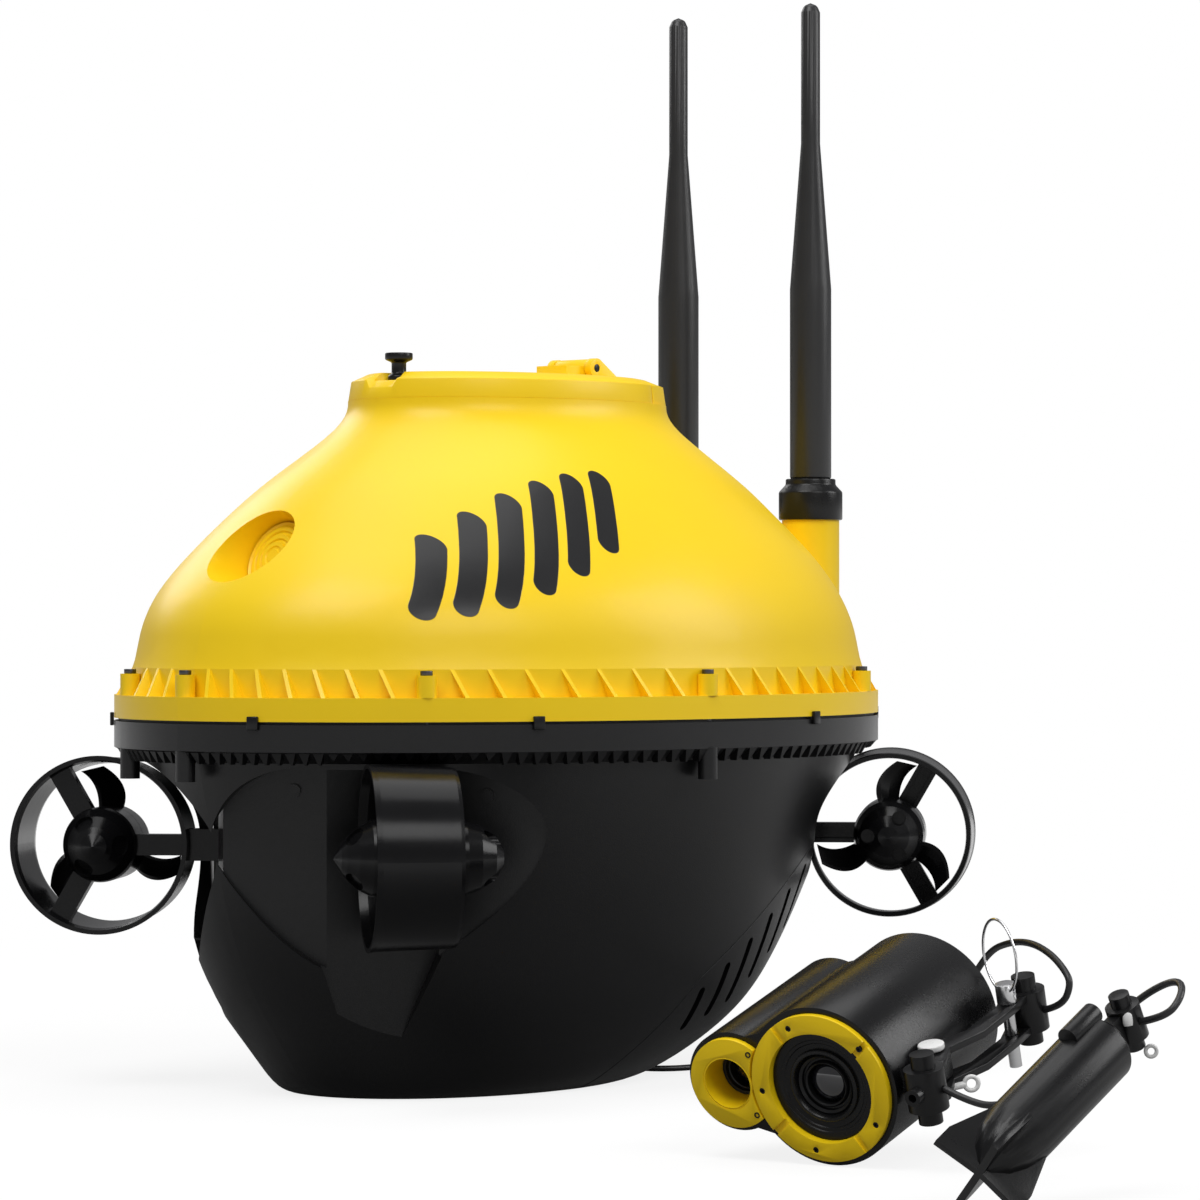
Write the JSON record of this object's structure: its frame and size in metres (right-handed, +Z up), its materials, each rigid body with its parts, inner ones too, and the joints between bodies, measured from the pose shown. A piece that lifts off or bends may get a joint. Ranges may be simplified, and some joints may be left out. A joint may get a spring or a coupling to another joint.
{
  "type": "underwater inspection rov",
  "caption": "Oval surface inspection boat with ducted thrusters, twin whip antennas, a top hatch, and an inner winch for a tethered underwater camera with a finned sinker.",
  "frame": {"origin": "in the flat base of the hull, below the centre of the flange oval", "axes": "+X towards the bow, +Y to port, +Z up"},
  "size_m": [0.3598, 0.5045, 0.398],
  "materials": {
    "yellow_shell": "satin moulded plastic",
    "black_hull": "satin moulded plastic",
    "black_plastic": "satin moulded plastic",
    "antenna_rubber": "matte sleeve",
    "seal_rubber": "matte",
    "steel": "brushed",
    "bright_steel": "bright",
    "inner_plastic": "moulded",
    "cord_jacket": "smooth jacket",
    "battery_wrap": "shrink wrap",
    "board_green": "solder mask",
    "camera_black": "satin coat",
    "camera_yellow": "satin",
    "clear_glass": "clear",
    "lens_glass": "coated glass",
    "sinker_coat": "satin coat"
  },
  "bodies": {
    "hull": {"upper_shell": "yellow_shell", "rear_deck": "yellow_shell", "bow_scoop_disc": "yellow_shell", "lower_hull": "black_hull", "stern_cover": "black_hull", "seam_clips": "black_plastic", "antenna_collar_port": "black_plastic", "antenna_collar_starboard": "black_plastic", "front_line_block": "black_plastic", "rear_tether_block": "black_plastic", "camera_bracket": "black_plastic", "thruster_bow_port_duct": "black_plastic", "thruster_bow_starboard_duct": "black_plastic", "thruster_stern_port_duct": "black_plastic", "thruster_stern_starboard_duct": "black_plastic", "thruster_bow_port_nose": "black_plastic", "thruster_bow_starboard_nose": "black_plastic", "thruster_stern_port_nose": "black_plastic", "thruster_stern_starboard_nose": "black_plastic", "antenna_port": "antenna_rubber", "antenna_starboard": "antenna_rubber", "flange_gasket": "seal_rubber", "tether_gland": "seal_rubber", "flange_screws": "steel", "hatch_hinge_pin": "steel", "winch_motor": "steel", "thruster_bow_port_motor": "steel", "thruster_bow_starboard_motor": "steel", "thruster_stern_port_motor": "steel", "thruster_stern_starboard_motor": "steel", "chassis_frame": "inner_plastic", "camera_carrier": "inner_plastic", "tether": "cord_jacket", "sinker_line": "cord_jacket", "battery_pack": "battery_wrap", "control_board": "board_green", "camera_housing": "camera_black", "camera_bezel": "camera_yellow", "light_bezel": "camera_yellow", "camera_window": "clear_glass", "camera_lens": "lens_glass", "light_lens": "lens_glass", "sinker_weight": "sinker_coat", "sinker_line_block": "sinker_coat"},
    "hatch": {"hatch_lid": "yellow_shell"},
    "latch": {"latch_pin": "black_plastic"},
    "winch": {"winch_drum": "inner_plastic", "tether_winding": "cord_jacket"},
    "button": {"button_pin": "bright_steel"},
    "release": {"release_pin": "bright_steel", "pull_ring": "bright_steel"},
    "propeller_bow_port": {"thruster_bow_port_propeller": "black_plastic", "thruster_bow_port_shaft": "steel"},
    "propeller_bow_starboard": {"thruster_bow_starboard_propeller": "black_plastic", "thruster_bow_starboard_shaft": "steel"},
    "propeller_stern_port": {"thruster_stern_port_propeller": "black_plastic", "thruster_stern_port_shaft": "steel"},
    "propeller_stern_starboard": {"thruster_stern_starboard_propeller": "black_plastic", "thruster_stern_starboard_shaft": "steel"}
  },
  "joints": [
    {"name": "hatch_hinge", "type": "hinge", "parent": "hull", "child": "hatch", "pos_m": [-0.036, 0, 0.2576], "axis": [0, -1, 0], "range_deg": [0, 100]},
    {"name": "latch_pull", "type": "slide", "parent": "hatch", "child": "latch", "axis": [0, 0, 1], "range_m": [0, 0.004], "stiffness_N_per_m": 200},
    {"name": "winch_spin", "type": "hinge", "parent": "hull", "child": "winch", "pos_m": [0.018, 0, 0.07], "axis": [0, 1, 0], "continuous": true},
    {"name": "button_pull", "type": "slide", "parent": "hull", "child": "button", "axis": [0.2783, 0.0507, 0.9592], "range_m": [0, 0.014]},
    {"name": "release_pull", "type": "slide", "parent": "hull", "child": "release", "axis": [0.2783, 0.0507, 0.9592], "range_m": [0, 0.014]},
    {"name": "propeller_bow_port_spin", "type": "hinge", "parent": "hull", "child": "propeller_bow_port", "pos_m": [0.125, 0.0764, 0.0865], "axis": [0.788, -0.6157, 0], "continuous": true},
    {"name": "propeller_bow_starboard_spin", "type": "hinge", "parent": "hull", "child": "propeller_bow_starboard", "pos_m": [0.125, -0.0764, 0.0865], "axis": [0.788, 0.6157, 0], "continuous": true},
    {"name": "propeller_stern_port_spin", "type": "hinge", "parent": "hull", "child": "propeller_stern_port", "pos_m": [-0.125, 0.0764, 0.0865], "axis": [-0.788, -0.6157, 0], "continuous": true},
    {"name": "propeller_stern_starboard_spin", "type": "hinge", "parent": "hull", "child": "propeller_stern_starboard", "pos_m": [-0.125, -0.0764, 0.0865], "axis": [-0.788, 0.6157, 0], "continuous": true}
  ]
}
